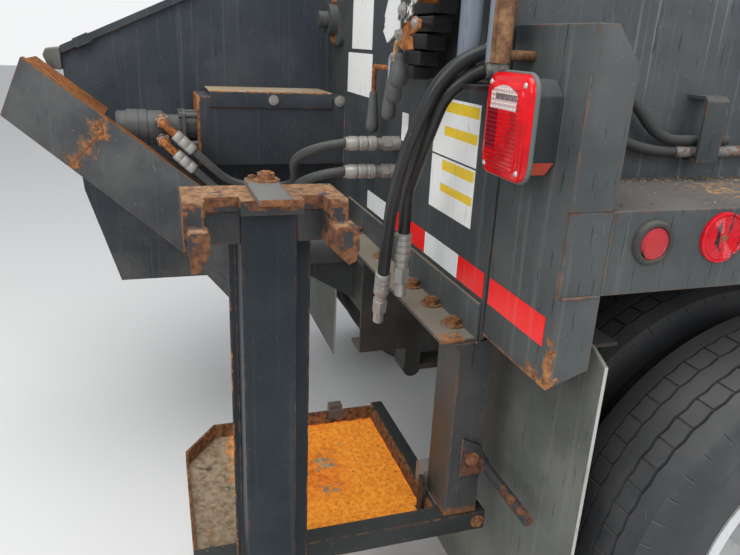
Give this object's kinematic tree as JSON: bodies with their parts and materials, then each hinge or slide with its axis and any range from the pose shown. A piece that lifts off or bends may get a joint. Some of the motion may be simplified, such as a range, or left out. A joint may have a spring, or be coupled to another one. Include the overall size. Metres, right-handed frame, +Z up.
{
  "type": "rear end of a garbage truck",
  "caption": "Rear end of a garbage truck with dual wheels, open feed hopper, hinged container arm, swinging cart lifter, riding step, control levers, mud flaps and lamps.",
  "frame": {"origin": "centre of the front face of the front crossmember, where the truck's chassis goes on forward, on the truck's centreline", "axes": "+X to the curb side (the truck's right), +Y forward along the truck, +Z up"},
  "size_m": [2.492, 2.371, 1.841],
  "materials": {
    "black_paint": "satin, dusty",
    "frame_black": "matt",
    "rusty_steel": "rough rust",
    "tray_rust": "rough bright rust",
    "tyre_rubber": "worn",
    "white_rim": "satin",
    "flap_rubber": "matt, dusty",
    "hose_rubber": "satin",
    "grip_plastic": "matt",
    "lamp_black": "satin",
    "red_lens": "gloss",
    "tape_red": "reflective",
    "tape_white": "reflective",
    "plate_white": "satin",
    "grey_tube": "satin",
    "bright_steel": "dull"
  },
  "bodies": {
    "rear_end": {"frame_rails": "frame_black", "crossmembers": "frame_black", "body_floor": "frame_black", "rear_axle": "frame_black", "brake_plates": "frame_black", "leaf_springs": "frame_black", "flap_brackets": "frame_black", "side_walls": "black_paint", "fenders": "black_paint", "corner_posts": "black_paint", "rear_wall": "black_paint", "hopper": "black_paint", "wall_angle": "black_paint", "step_column": "black_paint", "valve_block": "black_paint", "drive_box": "black_paint", "hydraulic_motor": "black_paint", "flange_bearing": "black_paint", "container_arm_pin": "black_paint", "lifter_pivot": "black_paint", "pipe_strap": "black_paint", "lever_bars": "rusty_steel", "tube_brackets": "rusty_steel", "motor_elbows": "rusty_steel", "shelf_pipe": "rusty_steel", "step_tray": "tray_rust", "mud_flaps": "flap_rubber", "hopper_bumper": "flap_rubber", "hanging_hose_front": "hose_rubber", "hanging_hose_rear": "hose_rubber", "motor_hoses": "hose_rubber", "shelf_hoses": "hose_rubber", "marker_lamp_grommets": "hose_rubber", "lever_grips": "grip_plastic", "tail_lamp_housings": "lamp_black", "tail_lamp_lenses": "red_lens", "marker_lamp_lenses": "red_lens", "side_reflectors": "red_lens", "tape_red": "tape_red", "tape_white": "tape_white", "blank_plates": "plate_white", "lever_guard": "plate_white", "hydraulic_tubes": "grey_tube", "hanging_hose_ends": "bright_steel", "hose_fittings": "bright_steel"},
    "wheels_right": {"wheel_right": "white_rim", "tyres_right": "tyre_rubber"},
    "wheels_left": {"wheel_left": "white_rim", "tyres_left": "tyre_rubber"},
    "cart_lifter": {"lifter_arm": "black_paint", "lifter_mast": "black_paint", "lifter_saddle": "rusty_steel", "latch_tab": "rusty_steel"},
    "container_arm": {"container_arm": "black_paint"}
  },
  "joints": [
    {"name": "wheel_right_turn", "type": "hinge", "parent": "rear_end", "child": "wheels_right", "pos_m": [0, -0.7, -0.385], "axis": [1, 0, 0], "continuous": true},
    {"name": "wheel_left_turn", "type": "hinge", "parent": "rear_end", "child": "wheels_left", "pos_m": [0, -0.7, -0.385], "axis": [1, 0, 0], "continuous": true},
    {"name": "lifter_swing", "type": "hinge", "parent": "rear_end", "child": "cart_lifter", "pos_m": [0.09, -1.69, 0.01], "axis": [0, -1, 0], "range_deg": [0, 90]},
    {"name": "container_arm_swing", "type": "hinge", "parent": "rear_end", "child": "container_arm", "pos_m": [-0.034, -1.76, -0.14], "axis": [1, 0, 0], "range_deg": [0, 60]}
  ]
}
